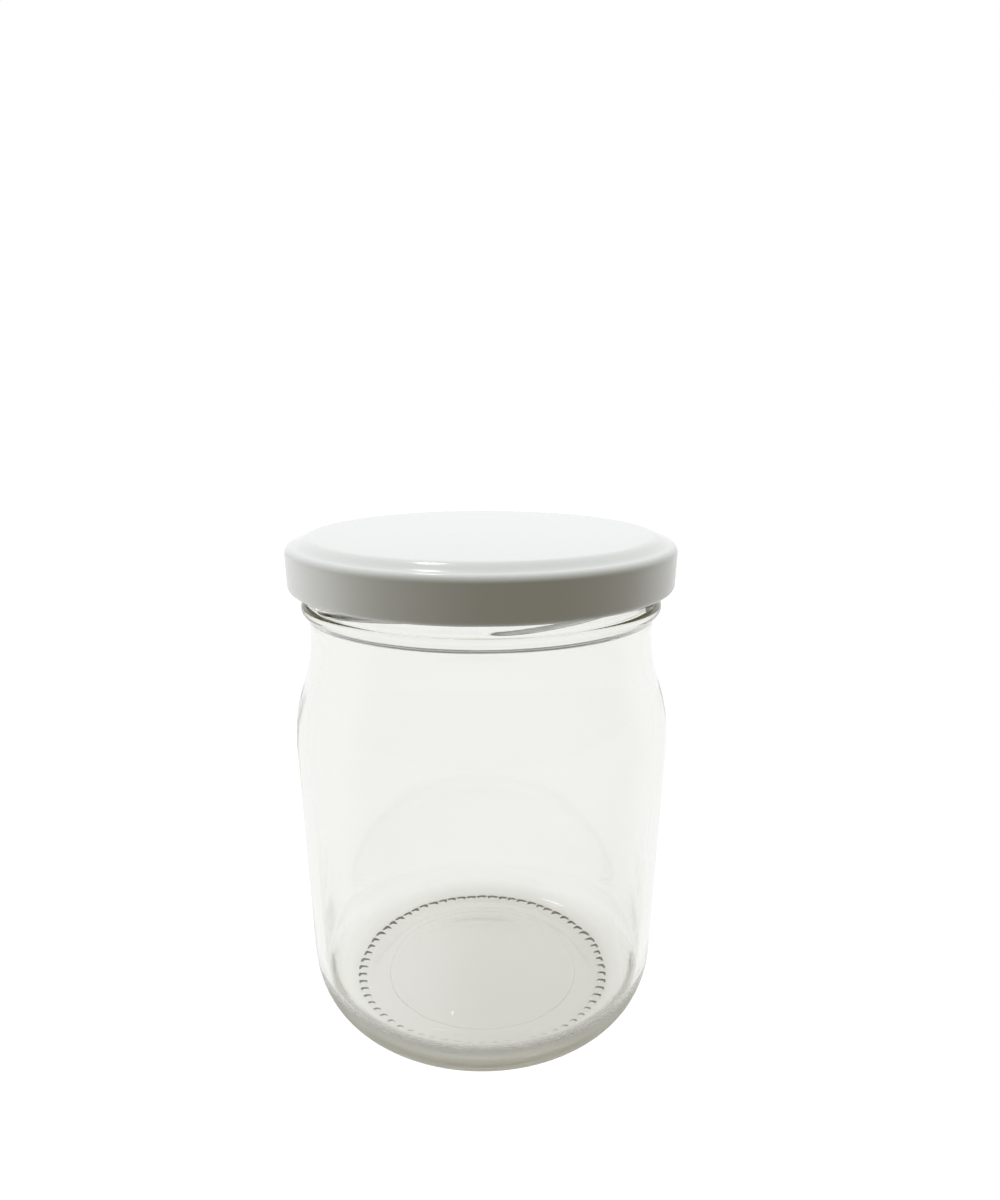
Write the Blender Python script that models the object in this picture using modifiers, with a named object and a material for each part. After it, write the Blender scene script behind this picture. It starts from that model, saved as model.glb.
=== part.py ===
"""A glass canning jar, empty and closed with its twist-off metal lid.

Every length below is in millimetres and becomes metres as the meshes are made.
The jar stands on the ground plane, with its axis on world Z and its mouth up.
"""

import math

import bmesh
import bpy
from mathutils import Matrix, Vector

MM = 0.001
STEPS = 60
STARTS = 6

# Glass: body, shoulder and neck, outside
BODY_RADIUS = 43.7
HEEL_WIDTH = 9.3
HEEL_HEIGHT = 15.4
SHOULDER_LOW = 70.5
SHOULDER_HIGH = 98.8
NECK_RADIUS = 38.45

# Glass: the flat ring it stands on and the raised middle of the base
REST_WIDTH = 3.4
ARCH_WIDTH = 4.5
ARCH_HEIGHT = 1.2
PLATE_RADIUS = 25.0
PLATE_STEP = 0.2
BASE_RISE = 2.6

# Glass: thickness
WALL = 2.3
BORE_RADIUS = 36.0
FLOOR_Z = 4.8
FLOOR_CROWN = 0.5
CORNER_WIDTH = 12.0
CORNER_HEIGHT = 9.5

# Glass: the finish that the lid grips
BEAD_LOW = 101.6
BEAD_HIGH = 104.2
BEAD_RADIUS = 40.1
ROOT_RADIUS = 38.9
RIM_Z = 115.4
LIP_HEIGHT = 1.3

# Glass: screw ridges
RIDGE_CREST = 40.3
RIDGE_HALF_HEIGHT = 0.85
RIDGE_LOW_Z = 105.95
RIDGE_RISE = 3.6
RIDGE_TURN = 64.0
RIDGE_FIRST_END = -88.0
RIDGE_ROOT = 1.2
RIDGE_FADE = 9.0
RIDGE_SINK = 0.15
RIDGE_STEPS = 12

# Lid: pressed sheet with a rolled edge
SHEET = 0.5
LID_RADIUS = 42.62
LID_CORNER = 3.45
LEDGE_Z = 116.35
PANEL_RADIUS = 36.4
PANEL_Z = 117.85
PANEL_EDGE_WIDTH = 0.9
PANEL_EDGE_DROP = 0.15
CORNER_OVERRUN = 97.0
LIP_RADIUS = 1.0
LIP_TURN = 240.0
LID_LOW_Z = 107.0

# Lid: lugs that reach in under the ridges
LUG_INNER = 39.3
LUG_THICKNESS = 0.85
LUG_LIFT = 0.12
LUG_BEND = 0.25
LUG_TURN = 9.0
LUG_FROM_RIDGE_END = 54.0
LUG_STEPS = 3


def arc(centre, radii, start, end, count):
    """Points on an elliptic arc from start to end, in degrees, both ends included."""
    points = []
    for i in range(count + 1):
        angle = math.radians(start + (end - start) * i / count)
        r = centre[0] + radii[0] * math.cos(angle)
        z = centre[1] + radii[1] * math.sin(angle)
        points.append((r, z))
    return points


def shoulder(low, high, count):
    """Two equal arcs that carry a vertical wall at low over to a narrower one at high."""
    inward = low[0] - high[0]
    rise = high[1] - low[1]
    radius = (inward ** 2 + rise ** 2) / (4 * inward)
    turn = math.degrees(2 * math.atan2(inward, rise))
    lower = arc((low[0] - radius, low[1]), (radius, radius), 0, turn, count)
    upper = arc((high[0] + radius, high[1]), (radius, radius), 180 + turn, 180, count)
    return lower + upper[1:]


def jar_inside():
    """Inner face of the glass, from the middle of the floor up to the lip."""
    inner_radius = BODY_RADIUS - WALL
    floor_edge = inner_radius - CORNER_WIDTH
    corner_centre = (floor_edge, FLOOR_Z + CORNER_HEIGHT)
    points = [(0.0, FLOOR_Z + FLOOR_CROWN), (floor_edge / 2, FLOOR_Z + FLOOR_CROWN * 0.7)]
    points += arc(corner_centre, (CORNER_WIDTH, CORNER_HEIGHT), -90, 0, 7)
    points += shoulder((inner_radius, SHOULDER_LOW), (BORE_RADIUS, SHOULDER_HIGH), 4)
    return points


def jar_lip():
    """The rounded sealing edge, from the bore over to the outside."""
    half_width = (ROOT_RADIUS - BORE_RADIUS) / 2
    centre = (BORE_RADIUS + half_width, RIM_Z - LIP_HEIGHT)
    return arc(centre, (half_width, LIP_HEIGHT), 180, 0, 6)


def jar_outside():
    """Outer face of the glass, from below the lip down to the flat ring it stands on."""
    bead_centre = (ROOT_RADIUS, (BEAD_LOW + BEAD_HIGH) / 2)
    bead_radii = (BEAD_RADIUS - ROOT_RADIUS, (BEAD_HIGH - BEAD_LOW) / 2)
    points = arc(bead_centre, bead_radii, 90, -90, 6)
    rising = shoulder((BODY_RADIUS, SHOULDER_LOW), (NECK_RADIUS, SHOULDER_HIGH), 5)
    points += rising[::-1]
    heel_centre = (BODY_RADIUS - HEEL_WIDTH, HEEL_HEIGHT)
    points += arc(heel_centre, (HEEL_WIDTH, HEEL_HEIGHT), 0, -90, 8)
    return points


def jar_underside():
    """The raised middle of the base, from the flat ring in to the axis."""
    ring_inner = BODY_RADIUS - HEEL_WIDTH - REST_WIDTH
    arch_top = ring_inner - ARCH_WIDTH
    return [
        (ring_inner, 0.0),
        (ring_inner - ARCH_WIDTH * 0.45, ARCH_HEIGHT * 0.7),
        (arch_top, ARCH_HEIGHT),
        (PLATE_RADIUS + PLATE_STEP, ARCH_HEIGHT + 0.15),
        (PLATE_RADIUS, ARCH_HEIGHT + 0.15 + PLATE_STEP),
        (PLATE_RADIUS / 2, BASE_RISE * 0.93),
        (0.0, BASE_RISE),
    ]


def lid_section():
    """Section of the pressed sheet: down its outer face, round the rolled edge, up inside."""
    corner_radius = LID_RADIUS - LID_CORNER
    corner_centre = (corner_radius, LEDGE_Z - LID_CORNER)
    inner_corner = LID_CORNER - SHEET
    roll_centre = (LID_RADIUS - LIP_RADIUS, LID_LOW_Z + LIP_RADIUS)
    panel_edge = (PANEL_RADIUS + PANEL_EDGE_WIDTH, PANEL_Z - PANEL_EDGE_DROP)
    points = [(0.0, PANEL_Z), (PANEL_RADIUS, PANEL_Z), panel_edge]
    points += arc(corner_centre, (LID_CORNER, LID_CORNER), CORNER_OVERRUN, 0, 6)
    points += arc(roll_centre, (LIP_RADIUS, LIP_RADIUS), 0, -LIP_TURN, 6)
    points += arc(corner_centre, (inner_corner, inner_corner), 0, CORNER_OVERRUN, 5)
    points += [
        (panel_edge[0] - SHEET * 0.5, panel_edge[1] - SHEET * 0.9),
        (PANEL_RADIUS, PANEL_Z - SHEET),
        (0.0, PANEL_Z - SHEET),
    ]
    return points


def material(name, colour, roughness, transmission):
    """A plain Principled material in the colour that the piece has."""
    made = bpy.data.materials.new(name)
    made.use_nodes = True
    shader = made.node_tree.nodes["Principled BSDF"]
    shader.inputs["Base Color"].default_value = (*colour, 1.0)
    shader.inputs["Roughness"].default_value = roughness
    shader.inputs["Metallic"].default_value = 0.0
    shader.inputs["Transmission Weight"].default_value = transmission
    made.diffuse_color = (*colour, 1.0)
    return made


def turned(name, section, finish, collection):
    """A solid of revolution: the section as a line of edges with a Screw modifier."""
    mesh = bpy.data.meshes.new(name)
    shape = bmesh.new()
    line = [shape.verts.new(Vector((r, 0.0, z)) * MM) for r, z in section]
    for first, second in zip(line, line[1:]):
        shape.edges.new((first, second))
    shape.to_mesh(mesh)
    shape.free()
    mesh.materials.append(finish)
    made = bpy.data.objects.new(name, mesh)
    collection.objects.link(made)
    screw = made.modifiers.new("Turn", "SCREW")
    screw.axis = "Z"
    screw.steps = STEPS
    screw.render_steps = STEPS
    screw.use_merge_vertices = True
    screw.merge_threshold = 0.00001
    screw.use_smooth_shade = True
    return made


def swept(name, section, start, turn, rise, steps, finish, collection):
    """A closed section swept about the axis from start by turn degrees while it climbs by rise."""
    shape = bmesh.new()
    ring = [shape.verts.new(Vector((r, 0.0, z)) * MM) for r, z in section]
    face = shape.faces.new(ring)
    bmesh.ops.spin(
        shape,
        geom=[face, *face.edges, *face.verts],
        cent=(0.0, 0.0, 0.0),
        axis=(0.0, 0.0, 1.0),
        dvec=(0.0, 0.0, rise * MM / steps),
        angle=math.radians(turn),
        steps=steps,
        use_duplicate=False,
    )
    bmesh.ops.rotate(
        shape,
        verts=shape.verts[:],
        cent=(0.0, 0.0, 0.0),
        matrix=Matrix.Rotation(math.radians(start), 3, "Z"),
    )
    bmesh.ops.recalc_face_normals(shape, faces=shape.faces[:])
    mesh = bpy.data.meshes.new(name)
    shape.to_mesh(mesh)
    shape.free()
    mesh.shade_smooth()
    mesh.materials.append(finish)
    made = bpy.data.objects.new(name, mesh)
    collection.objects.link(made)
    made.hide_render = True
    made.display_type = "WIRE"
    return made


def ridge(index, finish, collection):
    """One screw ridge. It climbs to the right, seen from outside, and fades at both ends."""
    start = RIDGE_FIRST_END + 360.0 / STARTS * index
    half = RIDGE_HALF_HEIGHT
    reach = RIDGE_CREST - ROOT_RADIUS
    section = arc((ROOT_RADIUS, RIDGE_LOW_Z), (reach, half), -90, 90, 5)
    section += [
        (ROOT_RADIUS - RIDGE_ROOT, RIDGE_LOW_Z + half),
        (ROOT_RADIUS - RIDGE_ROOT, RIDGE_LOW_Z - half),
    ]
    rise = RIDGE_RISE * RIDGE_TURN / (360.0 / STARTS)
    name = f"screw_ridge_{index + 1}"
    made = swept(name, section, start, RIDGE_TURN, rise, RIDGE_STEPS, finish, collection)
    middle = math.radians(start + RIDGE_TURN / 2)
    facing = Vector((math.cos(middle), math.sin(middle)))
    root = ROOT_RADIUS * MM
    for vertex in made.data.vertices:
        radius = vertex.co.xy.length
        off_middle = math.degrees(vertex.co.xy.angle(facing))
        from_end = (RIDGE_TURN / 2 - off_middle) / RIDGE_FADE
        fade = math.sin(math.pi / 2 * max(0.0, min(1.0, from_end)))
        if radius > root:
            radius = root + (radius - root) * fade - RIDGE_SINK * MM * (1.0 - fade)
            vertex.co.xy = vertex.co.xy.normalized() * radius
    return made


def lug(index, finish, collection):
    """One lug: the rolled edge pressed inwards, just under the high end of a ridge."""
    start = RIDGE_FIRST_END + 360.0 / STARTS * index + LUG_FROM_RIDGE_END
    outer = LID_RADIUS - LIP_RADIUS
    low = LID_LOW_Z + LUG_LIFT
    high = low + LUG_THICKNESS
    section = [
        (LUG_INNER + LUG_BEND, low),
        (outer, low),
        (outer, high),
        (LUG_INNER + LUG_BEND, high),
        (LUG_INNER, high - LUG_BEND),
        (LUG_INNER, low + LUG_BEND),
    ]
    name = f"lug_{index + 1}"
    return swept(name, section, start, LUG_TURN, 0.0, LUG_STEPS, finish, collection)


def joined(piece, operands):
    """Unites a piece with everything in a collection of shapes."""
    union = piece.modifiers.new("Unite", "BOOLEAN")
    union.operation = "UNION"
    union.operand_type = "COLLECTION"
    union.collection = operands
    union.solver = "EXACT"


def main():
    for old in list(bpy.data.objects):
        bpy.data.objects.remove(old)
    parts = bpy.data.collections.new("canning_jar")
    ridges = bpy.data.collections.new("screw_ridges")
    lugs = bpy.data.collections.new("lid_lugs")
    for collection in (parts, ridges, lugs):
        bpy.context.scene.collection.children.link(collection)

    glass = material("clear_glass", (0.93, 0.95, 0.93), 0.03, 1.0)
    enamel = material("white_enamel", (0.89, 0.90, 0.89), 0.18, 0.0)

    jar_section = jar_inside() + jar_lip() + jar_outside() + jar_underside()
    jar = turned("glass_jar", jar_section, glass, parts)
    lid = turned("twist_off_lid", lid_section(), enamel, parts)
    for index in range(STARTS):
        ridge(index, glass, ridges)
        lug(index, enamel, lugs)
    joined(jar, ridges)
    joined(lid, lugs)


main()
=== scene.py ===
"""Looks of the canning jar: clear moulded glass, its enamelled twist-off lid and a pale studio.

Lengths are in metres, in the frame that the solids are in: the axis of the jar on world Z, the
ring it stands on at height zero, the front of the picture towards -Y. Angles are in radians,
but arc, angle and the table of lamps take degrees.
"""

import math

import bmesh
import bpy
import numpy as np
from bpy.props import FloatProperty, FloatVectorProperty, IntProperty, PointerProperty
from mathutils import Matrix, Vector


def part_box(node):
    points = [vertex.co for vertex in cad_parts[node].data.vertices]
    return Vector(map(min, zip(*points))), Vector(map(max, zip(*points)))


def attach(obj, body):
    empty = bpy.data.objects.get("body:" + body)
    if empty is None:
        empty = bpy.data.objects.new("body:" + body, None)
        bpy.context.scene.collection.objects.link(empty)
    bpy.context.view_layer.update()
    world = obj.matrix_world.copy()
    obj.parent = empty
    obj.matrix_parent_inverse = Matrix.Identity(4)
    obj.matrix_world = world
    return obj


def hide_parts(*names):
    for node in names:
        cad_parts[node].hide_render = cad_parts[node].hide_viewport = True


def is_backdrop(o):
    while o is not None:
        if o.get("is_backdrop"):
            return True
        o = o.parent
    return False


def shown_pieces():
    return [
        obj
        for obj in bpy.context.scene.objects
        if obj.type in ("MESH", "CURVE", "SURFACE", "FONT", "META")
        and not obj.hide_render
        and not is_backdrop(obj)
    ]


bl_info = {
    "name": "Canning Jar",
    "version": (1, 0, 0),
    "blender": (4, 5, 0),
    "location": "3D View > Sidebar > Canning Jar",
    "description": "Makes an empty glass canning jar with its twist-off lid in a pale studio",
    "category": "Add Mesh",
}

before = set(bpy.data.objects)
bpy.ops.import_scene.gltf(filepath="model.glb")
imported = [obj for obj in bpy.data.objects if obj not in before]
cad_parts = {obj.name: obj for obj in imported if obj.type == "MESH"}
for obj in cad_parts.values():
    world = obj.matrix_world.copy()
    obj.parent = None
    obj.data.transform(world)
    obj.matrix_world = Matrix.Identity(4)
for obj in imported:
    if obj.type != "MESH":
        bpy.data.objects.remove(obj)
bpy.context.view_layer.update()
GLASS_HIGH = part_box("glass_jar")[1]
LID_LOW, LID_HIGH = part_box("twist_off_lid")

MM = 0.001
PHOTO_WIDTH = 1000
PHOTO_HEIGHT = 1200


# Profiles, as points (radius, height)

# Steps of the curve from the flat ring up to the base
ARCH_STEPS = 8
# Points across the line round the bottom plate, from its middle, in half widths of it
GROOVE_POINTS = (2.2, 1.0, 0.0, -1.0, -2.2)
# How far round the rolled edge of the lid goes, in degrees
ROLL_TURN = 240
# How far in the inner face of the lid's panel ends, in thicknesses of the sheet
PANEL_INSET = 0.2


def ease(share):
    """A share from 0 to 1 that starts and ends gently."""
    return share * share * (3 - 2 * share)


def arc(centre, radii, start, end, steps):
    """Points on an elliptic arc from start to end, in degrees, both ends included."""
    turns = np.radians(np.linspace(start, end, steps + 1))
    across = centre[0] + radii[0] * np.cos(turns)
    up = centre[1] + radii[1] * np.sin(turns)
    return list(zip(across, up))


def line(start, end, between):
    """Points between two ends, without the ends themselves."""
    shares = np.linspace(0.0, 1.0, between + 2)[1:-1]
    return [tuple(np.array(start) * (1 - share) + np.array(end) * share) for share in shares]


def level(radius, height, steps):
    """Points on a level face, from the axis out to its edge, both included."""
    return [(radius * share, height) for share in np.linspace(0.0, 1.0, steps + 1)]


def dome(radius, height, rise, steps):
    """Points on a shallow dome, from the axis out to its edge, without the edge itself."""
    shares = np.linspace(0.0, 1.0, steps + 1)[:-1]
    return [(radius * share, height + rise * (1 - share**2)) for share in shares]


def shoulder(low, high, steps):
    """Two equal arcs that carry a vertical wall at low over to a narrower one at high."""
    inward = low[0] - high[0]
    rise = high[1] - low[1]
    radius = (inward**2 + rise**2) / (4 * inward)
    turn = math.degrees(2 * math.atan2(inward, rise))
    lower = arc((low[0] - radius, low[1]), (radius, radius), 0, turn, steps)
    upper = arc((high[0] + radius, high[1]), (radius, radius), 180 + turn, 180, steps)
    return lower + upper[1:]


def glass_inside(glass):
    """Inner face of the glass, from the middle of the floor up to the lip."""
    wall_radius = glass.body_radius - glass.wall
    floor_edge = wall_radius - glass.corner_width
    corner_centre = (floor_edge, glass.floor_height + glass.corner_height)
    corner_radii = (glass.corner_width, glass.corner_height)
    wall_top = (wall_radius, glass.shoulder_low)
    bore_low = (glass.bore_radius, glass.shoulder_high)
    bore_high = (glass.bore_radius, glass.lip_low)
    points = dome(floor_edge, glass.floor_height, glass.floor_crown, steps=8)
    points += arc(corner_centre, corner_radii, -90, 0, steps=18)
    points += line(points[-1], wall_top, between=11)
    points += shoulder(wall_top, bore_low, steps=8)
    return points + line(points[-1], bore_high, between=6)


def glass_lip(glass):
    """The rounded sealing edge, from the bore over to the outside."""
    half_width = (glass.root_radius - glass.bore_radius) / 2
    centre = (glass.bore_radius + half_width, glass.lip_low)
    return arc(centre, (half_width, glass.rim_height - glass.lip_low), 180, 0, steps=12)


def glass_outside(glass):
    """Outer face of the glass, from the lip down to the flat ring that it stands on."""
    root = glass.root_radius
    zone_high = (root, glass.ridge_zone_high)
    zone_low = (root, glass.ridge_zone_low)
    points = line((root, glass.lip_low), zone_high, between=2) + [zone_high]
    points += line(zone_high, zone_low, between=38) + [zone_low]
    bead_middle = (glass.bead_low + glass.bead_high) / 2
    bead_radii = (glass.bead_radius - root, (glass.bead_high - glass.bead_low) / 2)
    points += arc((root, bead_middle), bead_radii, 90, -90, steps=14)
    wall_top = (glass.body_radius, glass.shoulder_low)
    neck_low = (glass.neck_radius, glass.shoulder_high)
    falling = shoulder(wall_top, neck_low, steps=9)[::-1]
    points += line((root, glass.bead_low), falling[0], between=2) + falling
    heel_centre = (glass.body_radius - glass.heel_width, glass.heel_height)
    heel_radii = (glass.heel_width, glass.heel_height)
    points += line(falling[-1], (glass.body_radius, glass.heel_height), between=10)
    return points + arc(heel_centre, heel_radii, 0, -90, steps=26)


def glass_underside(glass):
    """The raised middle of the base, from the flat ring in to the axis."""
    ring_outer = glass.body_radius - glass.heel_width
    ring_inner = ring_outer - glass.rest_width
    points = line((ring_outer, 0.0), (ring_inner, 0.0), between=7) + [(ring_inner, 0.0)]
    for share in np.linspace(0.0, 1.0, ARCH_STEPS + 1)[1:]:
        points.append((ring_inner - glass.arch_width * share, glass.arch_height * ease(share)))
    for off in GROOVE_POINTS:
        depth = glass.groove_depth if off == 0.0 else 0.0
        points.append((glass.plate_radius + off * glass.groove_half, glass.arch_height + depth))
    plate_rise = glass.base_rise - glass.arch_height
    return points + dome(points[-1][0], glass.arch_height, plate_rise, steps=6)[::-1]


def lid_step(start, end, fall, between):
    """The soft step from the level panel down to the corner, which it meets at the angle fall."""
    width = end[0] - start[0]
    points = []
    for share in np.linspace(0.0, 1.0, between + 2)[1:-1]:
        drop = (start[1] - end[1]) * ease(share)
        lift = math.tan(fall) * width * share * share * (1 - share)
        points.append((start[0] + width * share, start[1] - drop + lift))
    return points


def lid_outside(lid):
    """Outer face of the pressed lid, from the middle of its panel to the end of the roll."""
    corner = (lid.radius - lid.corner, lid.ledge - lid.corner)
    roll = (lid.radius - lid.roll, lid.low + lid.roll)
    bend = arc(corner, (lid.corner, lid.corner), 90 - math.degrees(lid.fall), 0, steps=22)
    points = level(lid.panel_radius, lid.top, steps=11)
    points += lid_step(points[-1], bend[0], lid.fall, between=18) + bend
    points += line((lid.radius, corner[1]), (lid.radius, roll[1]), between=6)
    return points + arc(roll, (lid.roll, lid.roll), 0, -ROLL_TURN, steps=22)


def lid_inside(lid):
    """Inner face of the pressed lid, from the roll back to the middle of the panel."""
    corner = (lid.radius - lid.corner, lid.ledge - lid.corner)
    inner = lid.corner - lid.sheet
    bend = arc(corner, (inner, inner), 0, 90 - math.degrees(lid.fall), steps=14)
    panel_radius = lid.panel_radius - lid.sheet * PANEL_INSET
    panel = level(panel_radius, lid.top - lid.sheet, steps=9)
    return bend + (panel + lid_step(panel[-1], bend[-1], lid.fall, between=14))[::-1]


# Mesh work

# Vertices nearer to each other than this are joined
JOIN_DISTANCE = 0.002 * MM
# Section of a screw ridge, from 1 for a wedge to 2 for a round one
RIDGE_SECTION = 1.3
# The higher this is, the narrower the bars of the flat ring are against their gaps
BAR_SHARPNESS = 1.5
# Share of a bar's half length over which it has its full depth
BAR_CORE = 0.3
# How the waves of the glass differ: shift of each seed and wave, sway, and change per wave
SEED_SHIFT = 1.7
WAVE_SHIFT = 2.3
WAVE_SWAY = 1.4
WAVE_TIGHTER = 0.37
WAVE_WEAKER = 0.35
# Where a lug fades out: in lug lengths, in rolls above the lower edge, and in from the skirt
LUG_ENDS = (0.3, 0.75)
LUG_TOP = (1.6, 2.3)
LUG_ROOT = (2.0, 0.4)
# A lug is pressed down towards this height, in rolls, by this share of the way
LUG_LEVEL = 0.9
LUG_PRESS = 0.75


def turned(name, profile, steps, parts=6):
    """A closed shell of revolution about Z, from a profile whose two ends lie on the axis.

    One part of the turn is spun, and copies of it go round the rest, which is much quicker.
    """
    shape = bmesh.new()
    chain = [shape.verts.new((radius, 0.0, height)) for radius, height in profile]
    edges = [shape.edges.new(pair) for pair in zip(chain, chain[1:])]
    centre = (0.0, 0.0, 0.0)
    bmesh.ops.spin(
        shape,
        geom=chain + edges,
        cent=centre,
        axis=(0.0, 0.0, 1.0),
        dvec=centre,
        angle=math.tau / parts,
        steps=steps // parts,
    )
    first = shape.verts[:] + shape.edges[:] + shape.faces[:]
    for index in range(1, parts):
        copy = bmesh.ops.duplicate(shape, geom=first)["geom"]
        vertices = [made for made in copy if isinstance(made, bmesh.types.BMVert)]
        turn = Matrix.Rotation(math.tau * index / parts, 3, "Z")
        bmesh.ops.rotate(shape, verts=vertices, cent=centre, matrix=turn)
    bmesh.ops.remove_doubles(shape, verts=shape.verts[:], dist=JOIN_DISTANCE)
    bmesh.ops.recalc_face_normals(shape, faces=shape.faces[:])
    mesh = bpy.data.meshes.new(name)
    shape.to_mesh(mesh)
    shape.free()
    mesh.shade_smooth()
    piece = bpy.data.objects.new(name, mesh)
    bpy.context.scene.collection.objects.link(piece)
    return piece


def read_points(piece):
    """The vertices of a piece as angle about Z, radius and height."""
    points = np.empty(len(piece.data.vertices) * 3)
    piece.data.vertices.foreach_get("co", points)
    x, y, z = points.reshape(-1, 3).T
    return np.arctan2(y, x), np.hypot(x, y), z


def write_points(piece, turn, radius, height):
    """Puts the vertices of a piece at these angles, radii and heights."""
    points = np.stack((radius * np.cos(turn), radius * np.sin(turn), height), axis=1)
    piece.data.vertices.foreach_set("co", points.ravel())
    piece.data.update()


def smooth(value, low, high):
    """A smooth step from 0 at low to 1 at high."""
    return ease(np.clip((value - low) / (high - low), 0.0, 1.0))


def turn_between(turn, middle):
    """The signed angle from middle to turn, from -pi to pi."""
    return (turn - middle + math.pi) % math.tau - math.pi


def ridge_height(glass, turn, height):
    """How far the screw ridges stand out of the wall.

    They climb to the right, seen from outside.
    """
    pitch = math.tau / glass.starts
    out = np.zeros_like(turn)
    for index in range(glass.starts):
        middle = glass.ridge_end + pitch * index + glass.ridge_turn / 2
        along = turn_between(turn, middle)
        centre = glass.ridge_low + glass.ridge_rise * (along + glass.ridge_turn / 2) / pitch
        off_centre = abs((height - centre) / glass.ridge_half)
        across = np.clip(1 - off_centre**RIDGE_SECTION, 0.0, 1.0)
        from_end = np.clip((glass.ridge_turn / 2 - abs(along)) / glass.ridge_fade, 0.0, 1.0)
        out = np.maximum(out, across * np.sin(from_end * math.pi / 2))
    return out * (glass.ridge_crest - glass.root_radius)


def knurl_gap(glass, turn, radius):
    """How far the base is lifted between the short radial bars of its flat ring."""
    bar = (0.5 + 0.5 * np.cos(turn * glass.knurls)) ** BAR_SHARPNESS
    middle = glass.body_radius - glass.heel_width - glass.rest_width / 2
    core = BAR_CORE * glass.knurl_half
    inside = smooth(radius, middle - glass.knurl_half, middle - core)
    outside = 1 - smooth(radius, middle + core, middle + glass.knurl_half)
    return glass.knurl_depth * (1 - bar) * inside * outside


def ripple(turn, height, seed, waves, tallness):
    """Slow uneven waves of the glass, from -1 to 1."""
    total = np.zeros_like(turn)
    weight = 0.0
    for index, wave in enumerate(waves):
        phase = seed * SEED_SHIFT + index * WAVE_SHIFT
        bend = height / tallness * (1 + WAVE_TIGHTER * index)
        sway = np.sin(bend + phase) * WAVE_SWAY
        share = 1.0 / (1 + WAVE_WEAKER * index)
        total += share * np.sin(wave * turn + sway + phase)
        weight += share
    return total / weight


def lug_share(lid, turn, radius, height, middle):
    """How much of the lug at the angle middle each vertex belongs to, from 0 to 1."""
    off = abs(turn_between(turn, middle))
    along = 1 - smooth(off, *(lid.lug_turn * share for share in LUG_ENDS))
    up = 1 - smooth(height, *(lid.low + rolls * lid.roll for rolls in LUG_TOP))
    inner = 1 - smooth(radius, *(lid.radius - rolls * lid.roll for rolls in LUG_ROOT))
    return along * up * inner


# Shader nodes

WHITE = (1.0, 1.0, 1.0, 1.0)
BLACK = (0.0, 0.0, 0.0, 1.0)
# The rough front of the heel fades in over these heights, places along Y and radii
HEEL_HEIGHT = (16 * MM, 10 * MM)
HEEL_FRONT = (-10 * MM, -28 * MM)
HEEL_REACH = (34.5 * MM, 37 * MM)
# The share of lamp light that the glass lets through
LAMP_THROUGH = (0.97, 0.975, 0.97, 1.0)
# Two values of the enamel's noise, and the roughness of the enamel at each
ENAMEL_CLOUD = (0.3, 0.7)
ENAMEL_ROUGHNESS = (0.14, 0.18)
# Two whites of the matt floor, and the light that is left in its painted shade on the right
FLOOR_WHITE = (0.8, 0.8, 0.8, 1.0)
FLOOR_DULL = (0.79, 0.79, 0.79, 1.0)
SHADE_RIGHT = (1.0, 1.0, 0.99, 1.0)
# The painted shade under the jar: its reach, its left and right side, and half of the ring that
# touches
SHADE_REACH = (31 * MM, 46 * MM)
SHADE_SIDES = (-26 * MM, 4 * MM)
RING_HALF = 4.5 * MM


def opaque(tint):
    """A colour as a socket takes it, with nothing of it see-through."""
    return (*tint, 1.0)


class Value:
    """One output in a shader. Arithmetic on it adds the Math nodes that work it out."""

    def __init__(self, finish, socket):
        self.finish = finish
        self.socket = socket

    def __add__(self, other):
        return self.finish.math("ADD", self, other)

    def __radd__(self, other):
        return self.finish.math("ADD", other, self)

    def __sub__(self, other):
        return self.finish.math("SUBTRACT", self, other)

    def __rsub__(self, other):
        return self.finish.math("SUBTRACT", other, self)

    def __mul__(self, other):
        return self.finish.math("MULTIPLY", self, other)

    def __rmul__(self, other):
        return self.finish.math("MULTIPLY", other, self)


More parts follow.
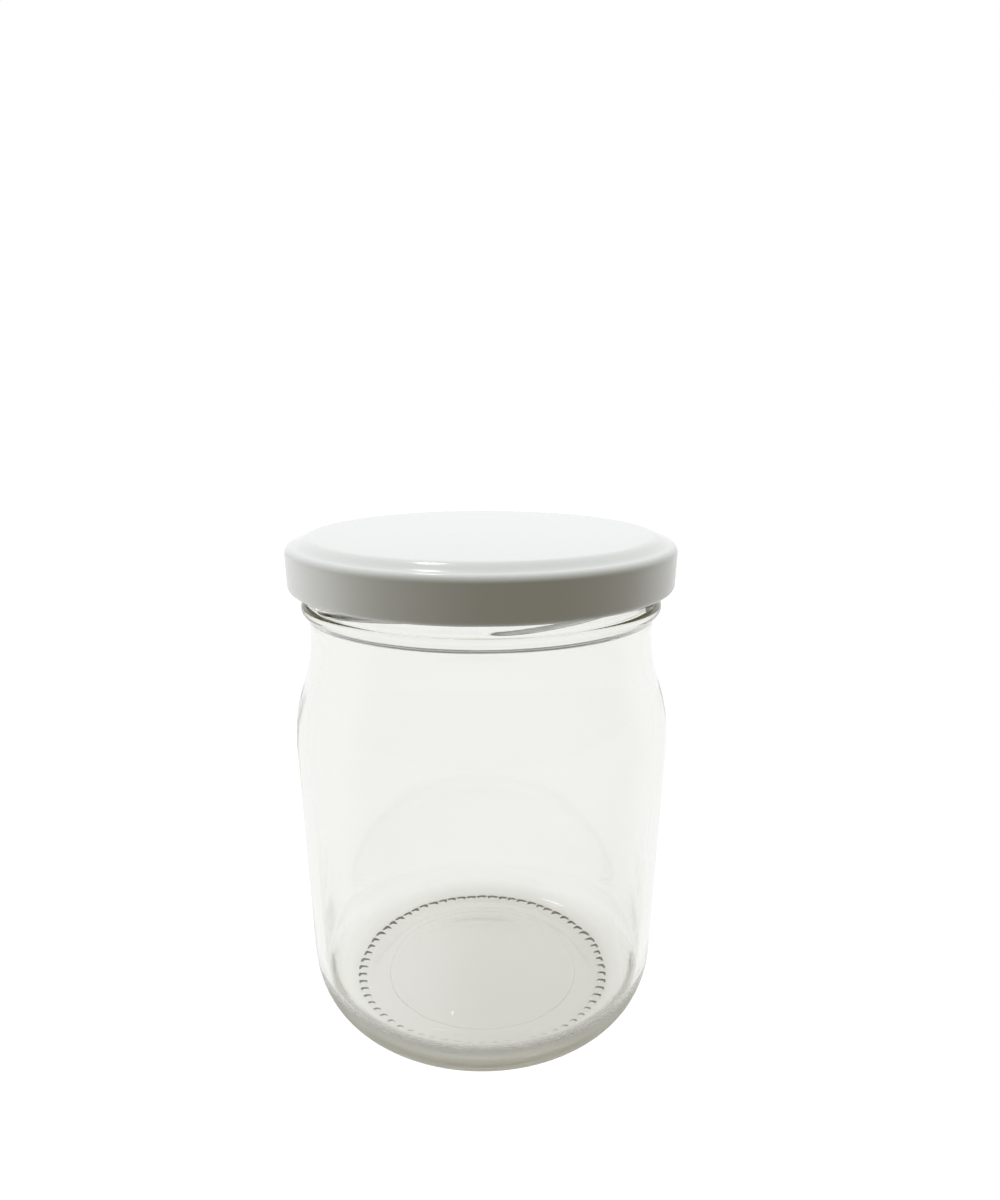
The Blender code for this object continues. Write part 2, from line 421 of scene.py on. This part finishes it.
class Finish:
    """The node tree of one material or world."""

    def __init__(self, owner):
        owner.use_nodes = True
        self.tree = owner.node_tree
        self.tree.nodes.clear()

    def node(self, kind, settings=None, sockets=None, output=0):
        """Adds a node, sets it up, fills its sockets and gives back one of its outputs, if any."""
        made = self.tree.nodes.new(kind)
        for name, setting in (settings or {}).items():
            setattr(made, name, setting)
        for name, value in (sockets or {}).items():
            if isinstance(value, Value):
                self.tree.links.new(value.socket, made.inputs[name])
            else:
                made.inputs[name].default_value = value
        if len(made.outputs) == 0:
            return None
        return Value(self, made.outputs[output])

    def math(self, operation, *values):
        """What a Math node makes of one or two values."""
        return self.node("ShaderNodeMath", {"operation": operation}, dict(enumerate(values)))

    def mix(self, share, first, second):
        """A colour between first and second."""
        settings = {"data_type": "RGBA", "blend_type": "MIX"}
        return self.node("ShaderNodeMix", settings, {0: share, 6: first, 7: second}, 2)

    def mix_shaders(self, share, first, second):
        """A shader between first and second."""
        return self.node("ShaderNodeMixShader", sockets={0: share, 1: first, 2: second})

    def is_ray(self, kind):
        """1 for rays of this kind and 0 for others."""
        return self.node("ShaderNodeLightPath", output=f"Is {kind} Ray")

    def object_place(self):
        """The place on the piece, in the frame of the solids."""
        return self.node("ShaderNodeTexCoord", output="Object")

    def part(self, vector, axis):
        """One part of a vector: X, Y or Z."""
        return self.node("ShaderNodeSeparateXYZ", sockets={0: vector}, output=axis)

    def reach(self, place):
        """How far a place is from the axis of the jar."""
        across = self.part(place, "X")
        away = self.part(place, "Y")
        return self.math("SQRT", across * across + away * away)

    def noise(self, place, scale, detail=2.0):
        """Cloudy noise, about 0.5 on the whole."""
        sockets = {"Vector": place, "Scale": scale, "Detail": detail, "Roughness": 0.5}
        return self.node("ShaderNodeTexNoise", sockets=sockets)

    def between(self, value, low, high, first=0.0, second=1.0):
        """A smooth step from first, at low, to second, at high."""
        settings = {"interpolation_type": "SMOOTHSTEP"}
        sockets = {"Value": value, 1: low, 2: high, 3: first, 4: second}
        return self.node("ShaderNodeMapRange", settings, sockets)

    def bump(self, height, distance, strength=1.0):
        """A normal that is tilted as if the surface had this height."""
        sockets = {"Height": height, "Distance": distance, "Strength": strength}
        return self.node("ShaderNodeBump", sockets=sockets)


def front_of_heel(finish, place):
    """1 on the front of the outer heel, where the glass is less even, and 0 elsewhere."""
    low = finish.between(finish.part(place, "Z"), *HEEL_HEIGHT)
    front = finish.between(finish.part(place, "Y"), *HEEL_FRONT)
    return low * front * finish.between(finish.reach(place), *HEEL_REACH)


def clear_glass(glass):
    """Clear moulded glass, faintly uneven, that lets lamp light through to the floor."""
    material = bpy.data.materials.new("clear_glass")
    finish = Finish(material)
    place = finish.object_place()
    cloud = finish.noise(place, scale=90.0, detail=3.0)
    grain = finish.noise(place, scale=240.0)
    shader = finish.node(
        "ShaderNodeBsdfPrincipled",
        sockets={
            "Base Color": finish.mix(cloud, opaque(glass.tint_light), opaque(glass.tint_deep)),
            "Roughness": front_of_heel(finish, place) * glass.heel_roughness,
            "IOR": glass.ior,
            "Transmission Weight": 1.0,
            "Normal": finish.bump(grain, distance=0.004 * MM),
        },
    )
    clear = finish.node("ShaderNodeBsdfTransparent", sockets={"Color": LAMP_THROUGH})
    depth = {"Color": opaque(glass.depth_colour), "Density": glass.depth}
    outputs = {
        "Surface": finish.mix_shaders(finish.is_ray("Shadow"), shader, clear),
        "Volume": finish.node("ShaderNodeVolumeAbsorption", sockets=depth),
    }
    finish.node("ShaderNodeOutputMaterial", sockets=outputs)
    return material


def white_enamel(lid):
    """Gloss enamel on thin steel, with the faint unevenness of sprayed and stoved lacquer."""
    material = bpy.data.materials.new("white_enamel")
    finish = Finish(material)
    place = finish.object_place()
    cloud = finish.noise(place, scale=45.0, detail=3.0)
    grain = finish.noise(place, scale=2600.0)
    shader = finish.node(
        "ShaderNodeBsdfPrincipled",
        sockets={
            "Base Color": finish.mix(cloud, opaque(lid.colour), opaque(lid.colour_deep)),
            "Roughness": finish.between(cloud, *ENAMEL_CLOUD, *ENAMEL_ROUGHNESS),
            "IOR": lid.ior,
            "Normal": finish.bump(grain, distance=0.003 * MM, strength=0.6),
        },
    )
    finish.node("ShaderNodeOutputMaterial", sockets={"Surface": shader})
    return material


def pale_floor(stage):
    """A floor as white as the backdrop to the camera. To other rays its glow has a painted shade
    under the jar, lighter on the left and darkest along the ring that the jar stands on.

    So the painted shade shows only where the floor is seen through the glass.
    """
    material = bpy.data.materials.new("pale_floor")
    finish = Finish(material)
    place = finish.object_place()
    cloud = finish.noise(place, scale=14.0, detail=3.0)
    white = finish.mix(cloud, FLOOR_WHITE, FLOOR_DULL)
    matt = finish.node("ShaderNodeBsdfDiffuse", sockets={"Color": white})
    # The glow's colour is darkened under the jar as a painted shade, lighter towards the left
    reach = finish.reach(place)
    # Painted contact shadow: the glow is a little darker along the ring that the jar stands on
    off_ring = finish.math("ABSOLUTE", reach - stage.ring_radius)
    ring = finish.between(off_ring, 0.0, RING_HALF, stage.painted_ring_light_share, 1.0)
    left = finish.between(finish.part(place, "X"), *SHADE_SIDES, stage.painted_shade_left_share, 1.0)
    shade = finish.mix(left, SHADE_RIGHT, opaque(stage.painted_shade_under_jar))
    painted_shade_tone = finish.mix(finish.between(reach, *SHADE_REACH), shade, WHITE)
    bare = finish.is_ray("Camera")
    colour_seen = finish.mix(bare, finish.mix(ring, BLACK, painted_shade_tone), WHITE)
    light = {"Color": colour_seen, "Strength": stage.floor_glow}
    glow = finish.node("ShaderNodeEmission", sockets=light)
    glow_share = 1.0 - (1.0 - stage.floor_share) * (1.0 - bare)
    floor = finish.mix_shaders(glow_share, matt, glow)
    finish.node("ShaderNodeOutputMaterial", sockets={"Surface": floor})
    material.cycles.emission_sampling = "NONE"
    return material


# Settings


def length(name, default, description):
    return FloatProperty(
        name=name, default=default, description=description, unit="LENGTH", precision=5
    )


def angle(name, degrees, description):
    return FloatProperty(
        name=name, default=math.radians(degrees), description=description, subtype="ANGLE"
    )


def number(name, default, description):
    return FloatProperty(name=name, default=default, description=description, precision=3)


def colour(name, default, description):
    return FloatVectorProperty(
        name=name, default=default, description=description, subtype="COLOR", min=0.0, max=1.0
    )


class JarGlassSettings(bpy.types.PropertyGroup):
    """Sizes and colours of the glass."""

    body_radius: length("Body radius", GLASS_HIGH.x, "Outer radius of the straight body")
    heel_width: length("Heel width", 9.3 * MM, "How far in the rounded heel reaches")
    heel_height: length("Heel height", 15.4 * MM, "How far up the rounded heel reaches")
    shoulder_low: length("Shoulder low", 70.5 * MM, "Height where the shoulder starts")
    shoulder_high: length("Shoulder high", 98.8 * MM, "Height where the shoulder ends")
    neck_radius: length("Neck radius", 38.45 * MM, "Outer radius at the top of the shoulder")
    rest_width: length("Ring width", 3.4 * MM, "Width of the flat ring that the jar stands on")
    arch_width: length("Arch width", 4.9 * MM, "Width of the curve from the ring to the base")
    arch_height: length("Arch height", 0.45 * MM, "Rise of the base just inside the ring")
    plate_radius: length("Plate radius", 25.0 * MM, "Radius of the mould's bottom plate")
    groove_depth: length("Groove depth", 0.1 * MM, "Depth of the line round the bottom plate")
    groove_half: length("Groove half", 0.07 * MM, "Half of the width of that line")
    base_rise: length("Base rise", 1.9 * MM, "Rise of the base at the axis")
    wall: length("Wall", 2.3 * MM, "Thickness of the wall of the body")
    bore_radius: length("Bore radius", 36.0 * MM, "Inner radius of the mouth")
    floor_height: length("Floor height", 4.8 * MM, "Height of the inner floor at its edge")
    floor_crown: length("Floor crown", 0.5 * MM, "Rise of the inner floor at the axis")
    corner_width: length("Corner width", 12.0 * MM, "Width of the rounded inner corner")
    corner_height: length("Corner height", 9.5 * MM, "Height of the rounded inner corner")
    bead_low: length("Bead low", 101.6 * MM, "Lower edge of the bead under the lid")
    bead_high: length("Bead high", 104.2 * MM, "Upper edge of the bead under the lid")
    bead_radius: length("Bead radius", 40.1 * MM, "Radius of the bead at its fullest")
    root_radius: length("Root radius", 38.9 * MM, "Radius of the wall between the ridges")
    rim_height: length("Rim height", GLASS_HIGH.z, "Height of the sealing edge")
    lip_low: length("Lip low", GLASS_HIGH.z - 1.3 * MM, "Height where the lip starts to round")
    starts: IntProperty(name="Ridges", default=6, min=1, description="How many screw ridges")
    ridge_crest: length("Ridge crest", 40.6 * MM, "Radius of the screw ridges")
    ridge_half: length("Ridge half height", 1.6 * MM, "Half of the height of a ridge")
    ridge_low: length("Ridge low", 105.55 * MM, "Height of a ridge at its low end")
    ridge_rise: length("Ridge rise", 3.6 * MM, "Climb of a ridge from one start to the next")
    ridge_turn: angle("Ridge length", 64.0, "How far round the neck a ridge runs")
    ridge_end: angle("First ridge", -90.0, "Where the first ridge has its low end")
    ridge_fade: angle("Ridge fade", 8.0, "How long the ends of a ridge take to fade")
    ridge_zone_low: length("Ridge zone low", 104.9 * MM, "Where the fine rows of the neck start")
    ridge_zone_high: length("Ridge zone high", 110.9 * MM, "Where the fine rows of the neck end")
    knurls: IntProperty(name="Knurls", default=66, min=3, description="Bars round the flat ring")
    knurl_depth: length("Knurl depth", 0.5 * MM, "How far the bars stand out of the ring")
    knurl_half: length("Knurl half", 1.5 * MM, "Half of the length of a bar")
    waviness: length("Waviness", 0.01 * MM, "Unevenness of the outer face")
    inner_waviness: length("Inner waviness", 0.03 * MM, "Unevenness of the inner face")
    steps: IntProperty(name="Steps", default=462, min=12, description="Steps round the glass")
    ior: number("IOR", 1.52, "How strongly the glass bends light")
    tint_light: colour("Tint", (0.995, 0.997, 0.993), "Colour of the glass at its faces")
    tint_deep: colour("Deep tint", (0.99, 0.993, 0.987), "Colour where its faces are duller")
    heel_roughness: number("Heel roughness", 0.45, "Roughness of the front of the heel")
    depth_colour: colour("Depth colour", (0.29, 0.265, 0.0), "Colour that thick glass tends to")
    depth: number("Depth", 12.0, "How much light a metre of the glass takes")


class JarLidSettings(bpy.types.PropertyGroup):
    """Sizes and colours of the lid."""

    radius: length("Radius", LID_HIGH.x, "Outer radius of the skirt")
    corner: length("Corner", 1.75 * MM, "Radius of the rounded corner")
    ledge: length("Ledge", LID_HIGH.z - 1.5 * MM, "Top of the circle that rounds the corner")
    top: length("Top", LID_HIGH.z, "Height of the panel")
    panel_radius: length("Panel radius", 37.0 * MM, "Radius of the flat panel")
    fall: angle("Fall", 10.0, "How steeply the step round the panel meets the corner")
    low: length("Low", LID_LOW.z, "Height of the lower edge")
    roll: length("Roll", 1.0 * MM, "Radius of the rolled edge")
    sheet: length("Sheet", 0.5 * MM, "Thickness of the sheet")
    lugs: IntProperty(name="Lugs", default=6, min=1, description="How many lugs")
    lug_first: angle("First lug", -29.5, "Where the middle of the first lug is")
    lug_turn: angle("Lug length", 9.0, "How far round a lug reaches")
    lug_inner: length("Lug reach", 39.35 * MM, "Radius that the lugs reach in to")
    steps: IntProperty(name="Steps", default=480, min=12, description="Steps round the lid")
    ior: number("IOR", 1.5, "How strongly the enamel shines")
    colour: colour("Colour", (0.84, 0.85, 0.845), "Colour of the enamel")
    colour_deep: colour("Deep colour", (0.83, 0.842, 0.838), "Colour where it is thicker")


class JarStageSettings(bpy.types.PropertyGroup):
    """The studio: floor, light and camera."""

    floor_reach: length("Floor reach", 4.0, "How far the floor reaches from the jar")
    floor_glow: number("Floor glow", 1.13, "Light of the floor")
    floor_share: number("Glow share", 0.8, "How much of the floor's light is its own")
    # Painted shade in the floor's glow under the jar, and a painted contact shadow along the ring;
    # both show only through the glass
    ring_radius: length("Ring radius", 32.7 * MM, "Middle of the ring that the jar stands on")
    painted_ring_light_share: number("Ring light", 0.96, "Share of light left where the ring touches")
    painted_shade_under_jar: colour("Under the jar", (0.71, 0.7, 0.67), "Share of light that reaches the floor")
    painted_shade_left_share: number("Left share", 0.6, "How much of that shade the left side has")
    back_low: number("Low back light", 4.6, "Light from behind that comes from below")
    back_high: number("High back light", 0.5, "Light from behind that comes from above")
    front_light: number("Front light", 0.183, "Light from in front")
    bright_side: angle("Bright side", 102.0, "Where the light behind is centred, from +X")
    camera_distance: length("Camera distance", 186.8 * MM, "From the axis of the jar")
    camera_height: length("Camera height", 144.4 * MM, "Above the floor")
    camera_pitch: angle("Camera pitch", 22.19, "How far the camera looks down")
    camera_roll: angle("Camera roll", -0.19, "Turn of the camera about its own axis")
    focal_pixels: number("Focal length", 831.3, "In pixels of the photograph")
    middle_x: number("Middle across", 481.6, "Pixel that the camera points at")
    middle_y: number("Middle down", 740.0, "Pixel that the camera points at")


# Operators

# Where the waves of the glass fade: heights at the foot and the neck, radii on the inner floor
WAVES_FOOT = (2 * MM, 14 * MM)
WAVES_NECK = (92 * MM, 99 * MM)
WAVES_FLOOR = (20 * MM, 33 * MM)
# How far a vertex may lie from where it is looked for
NEAR_WALL = 0.01 * MM
NEAR_FLOOR = 0.2 * MM
# Vertices of the outer face below this height belong to the base
BASE_TOP = 1.5 * MM
# The floor lies this far under the ring that the jar stands on
FLOOR_DROP = 0.02 * MM
# What is in front of the jar: the tint of its light, and what is mirrored and seen through glass
FRONT_TINT = (1.0, 0.945, 0.74)
FRONT_MIRRORED = (0.42, 0.4, 0.35, 1.0)
FRONT_THROUGH = (0.7, 0.69, 0.62, 1.0)
# How softly the front turns into the back, and low into high, in parts of a direction
SOFT_EDGE = (-0.3, 0.3)
# Lamps, 1 m from the point that they shine at, with turn and rise in degrees. One that is
# mirrored is seen as a highlight on the enamel and the glass
LAMPS = (
    {
        "name": "key",
        "turn": 99.0,
        "rise": 80.0,
        "size": (0.9, 0.25),
        "power": 6.6,
        "mirrored": False,
    },
    {
        "name": "small_lamp",
        "turn": 106.3,
        "rise": 54.0,
        "size": (0.07, 0.05),
        "power": 0.33,
        "mirrored": True,
    },
)
LAMP_AIM = Vector((0.0, 0.0, 0.1))
LAMP_COLOUR = (0.96, 0.995, 1.01)
# A ray is mirrored many times inside the bead and the heel before it leaves the glass
BOUNCES = 64
CLEAR_BOUNCES = 24
# The camera's sensor, in millimetres, and the nearest thing that it sees
SENSOR_WIDTH = 36.0
NEAREST_SEEN = 0.01


class AddJarGlass(bpy.types.Operator):
    """Makes the glass: body, shoulder, neck with its screw ridges, and the knurled base"""

    bl_idname = "canning_jar.add_glass"
    bl_label = "Add Glass"

    def execute(self, context):
        glass = context.scene.jar_glass
        profile = glass_inside(glass) + glass_lip(glass)
        profile += glass_outside(glass) + glass_underside(glass)
        piece = turned("jar_glass", profile, glass.steps)
        turn, radius, height = read_points(piece)

        near_root = abs(radius - glass.root_radius) < NEAR_WALL
        in_zone = (height > glass.bead_high) & (height < glass.lip_low)
        ridges = ridge_height(glass, turn, height) * (near_root & in_zone)

        inner_face = self.inner_face(glass, radius, height)
        below_neck = 1 - smooth(height, *WAVES_NECK)
        outer_wave = ripple(turn, height, seed=1.0, waves=(3, 7, 13, 22), tallness=19 * MM)
        hollow = (0.5 + 0.5 * outer_wave) * (smooth(height, *WAVES_FOOT) * below_neck)
        inner_wave = ripple(turn, height, seed=4.0, waves=(5, 11, 17, 29, 41), tallness=11 * MM)
        swell = inner_wave * (smooth(radius, *WAVES_FLOOR) * below_neck)
        radius = np.where(
            inner_face,
            radius + glass.inner_waviness * swell,
            radius + ridges - glass.waviness * hollow,
        )
        under = (height < BASE_TOP) & ~inner_face
        height = height + np.where(under, knurl_gap(glass, turn, radius), 0.0)
        write_points(piece, turn, radius, height)

        piece.data.materials.append(clear_glass(glass))
        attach(piece, "root")
        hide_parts("glass_jar")
        return {"FINISHED"}

    def inner_face(self, glass, radius, height):
        """Whether each vertex is on the inner face of the glass."""
        heights, outer = zip(*[(z, r) for r, z in glass_outside(glass)][::-1])
        middle = np.interp(height, heights, outer) - glass.wall / 2
        return (height > glass.floor_height - NEAR_FLOOR) & (radius < middle)


class AddJarLid(bpy.types.Operator):
    """Makes the twist-off lid: panel, soft step, skirt, rolled edge and lugs"""

    bl_idname = "canning_jar.add_lid"
    bl_label = "Add Lid"

    def execute(self, context):
        lid = context.scene.jar_lid
        piece = turned("twist_off_lid_enamelled", lid_outside(lid) + lid_inside(lid), lid.steps)
        turn, radius, height = read_points(piece)
        for index in range(lid.lugs):
            middle = lid.lug_first + math.tau * index / lid.lugs
            share = lug_share(lid, turn, radius, height, middle)
            radius = radius - share * (lid.radius - 2 * lid.roll - lid.lug_inner)
            too_high = np.clip(height - lid.low - LUG_LEVEL * lid.roll, 0.0, None)
            height = height - share * too_high * LUG_PRESS
        write_points(piece, turn, radius, height)
        piece.data.materials.append(white_enamel(lid))
        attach(piece, "root")
        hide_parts("twist_off_lid")
        return {"FINISHED"}


class AddJarStage(bpy.types.Operator):
    """Makes the pale floor, the soft studio light and the camera"""

    bl_idname = "canning_jar.add_stage"
    bl_label = "Add Stage"

    def execute(self, context):
        stage = context.scene.jar_stage
        self.add_floor(context, stage)
        self.add_world(context, stage)
        self.add_lamps(context)
        self.add_camera(context, stage)
        context.scene.view_settings.view_transform = "Standard"
        context.scene.view_settings.look = "None"
        cycles = context.scene.cycles
        cycles.max_bounces = BOUNCES
        cycles.transmission_bounces = BOUNCES
        cycles.glossy_bounces = BOUNCES
        cycles.transparent_max_bounces = CLEAR_BOUNCES
        cycles.caustics_reflective = True
        cycles.caustics_refractive = True
        return {"FINISHED"}

    def add_floor(self, context, stage):
        """A wide flat floor that lights no matt surface and isn't mirrored."""
        shape = bmesh.new()
        bmesh.ops.create_grid(shape, x_segments=8, y_segments=8, size=stage.floor_reach)
        mesh = bpy.data.meshes.new("floor")
        shape.to_mesh(mesh)
        shape.free()
        mesh.transform(Matrix.Translation((0.0, 0.0, -FLOOR_DROP)))
        mesh.materials.append(pale_floor(stage))
        floor = bpy.data.objects.new("floor", mesh)
        context.scene.collection.objects.link(floor)
        floor.visible_diffuse = False
        floor.visible_glossy = False
        floor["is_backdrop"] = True

    def add_world(self, context, stage):
        """White to the camera, and else bright behind the jar and dim and warm in front of it."""
        world = bpy.data.worlds.new("studio")
        context.scene.world = world
        finish = Finish(world)
        direction = finish.node("ShaderNodeTexCoord", output="Generated")
        towards = (math.cos(stage.bright_side), math.sin(stage.bright_side), 0.0)
        vectors = {0: direction, 1: towards}
        settings = {"operation": "DOT_PRODUCT"}
        rear = finish.node("ShaderNodeVectorMath", settings, vectors, "Value")
        share = finish.between(rear, *SOFT_EDGE)
        front = opaque(stage.front_light * part for part in FRONT_TINT)
        rise = finish.part(direction, "Z")
        level_behind = finish.between(rise, *SOFT_EDGE, stage.back_low, stage.back_high)
        parts = {0: level_behind, 1: level_behind, 2: level_behind}
        back = finish.node("ShaderNodeCombineColor", sockets=parts)
        mirrored = finish.mix(share, FRONT_MIRRORED, WHITE)
        through = finish.mix(share, FRONT_THROUGH, WHITE)
        shown = finish.mix(share, front, back)
        shown = finish.mix(finish.is_ray("Glossy"), shown, mirrored)
        shown = finish.mix(finish.is_ray("Transmission"), shown, through)
        shown = finish.mix(finish.is_ray("Camera"), shown, WHITE)
        light = finish.node("ShaderNodeBackground", sockets={"Color": shown})
        finish.node("ShaderNodeOutputWorld", sockets={"Surface": light})

    def add_lamps(self, context):
        """Lamps that shine on the jar alone, the key without being mirrored in it."""
        lit = bpy.data.collections.new("lit_by_key")
        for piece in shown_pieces():
            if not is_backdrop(piece):
                lit.objects.link(piece)
        for given in LAMPS:
            lamp = bpy.data.lights.new(given["name"], "AREA")
            lamp.shape = "RECTANGLE"
            lamp.size, lamp.size_y = given["size"]
            lamp.energy = given["power"]
            lamp.color = LAMP_COLOUR
            made = bpy.data.objects.new(given["name"], lamp)
            context.scene.collection.objects.link(made)
            turn = math.radians(given["turn"])
            rise = math.radians(given["rise"])
            level_out = math.cos(rise)
            out = Vector((math.cos(turn) * level_out, math.sin(turn) * level_out, math.sin(rise)))
            facing = out.to_track_quat("Z", "Y").to_matrix().to_4x4()
            made.matrix_world = Matrix.Translation(LAMP_AIM + out) @ facing
            made.light_linking.receiver_collection = lit
            made.visible_glossy = given["mirrored"]
            made.visible_transmission = given["mirrored"]

    def add_camera(self, context, stage):
        """The camera of the photograph, fitted to the ellipses of the lid, bead and base."""
        lens = bpy.data.cameras.new("camera")
        lens.sensor_width = SENSOR_WIDTH
        lens.lens = stage.focal_pixels * lens.sensor_width / PHOTO_HEIGHT
        lens.shift_x = (PHOTO_WIDTH / 2 - stage.middle_x) / PHOTO_HEIGHT
        lens.shift_y = (stage.middle_y - PHOTO_HEIGHT / 2) / PHOTO_HEIGHT
        lens.clip_start = NEAREST_SEEN
        camera = bpy.data.objects.new("camera", lens)
        context.scene.collection.objects.link(camera)
        place = Matrix.Translation((0.0, -stage.camera_distance, stage.camera_height))
        pitch = Matrix.Rotation(math.pi / 2 - stage.camera_pitch, 4, "X")
        camera.matrix_world = place @ pitch @ Matrix.Rotation(stage.camera_roll, 4, "Z")
        context.scene.camera = camera


class CanningJarPanel(bpy.types.Panel):
    """Lists the pieces of the jar and their settings"""

    bl_idname = "VIEW3D_PT_canning_jar"
    bl_label = "Canning Jar"
    bl_space_type = "VIEW_3D"
    bl_region_type = "UI"
    bl_category = "Canning Jar"

    def draw(self, context):
        for operator, settings in (
            (AddJarGlass, context.scene.jar_glass),
            (AddJarLid, context.scene.jar_lid),
            (AddJarStage, context.scene.jar_stage),
        ):
            box = self.layout.box()
            box.operator(operator.bl_idname)
            for name in settings.bl_rna.properties.keys():
                if name not in ("rna_type", "name"):
                    box.prop(settings, name)


CLASSES = (
    JarGlassSettings,
    JarLidSettings,
    JarStageSettings,
    AddJarGlass,
    AddJarLid,
    AddJarStage,
    CanningJarPanel,
)


def register():
    for made in CLASSES:
        bpy.utils.register_class(made)
    bpy.types.Scene.jar_glass = PointerProperty(type=JarGlassSettings)
    bpy.types.Scene.jar_lid = PointerProperty(type=JarLidSettings)
    bpy.types.Scene.jar_stage = PointerProperty(type=JarStageSettings)


def unregister():
    del bpy.types.Scene.jar_glass
    del bpy.types.Scene.jar_lid
    del bpy.types.Scene.jar_stage
    for made in reversed(CLASSES):
        bpy.utils.unregister_class(made)


def main():
    register()
    bpy.ops.canning_jar.add_glass()
    bpy.ops.canning_jar.add_lid()
    bpy.ops.canning_jar.add_stage()


if __name__ == "__main__":
    main()
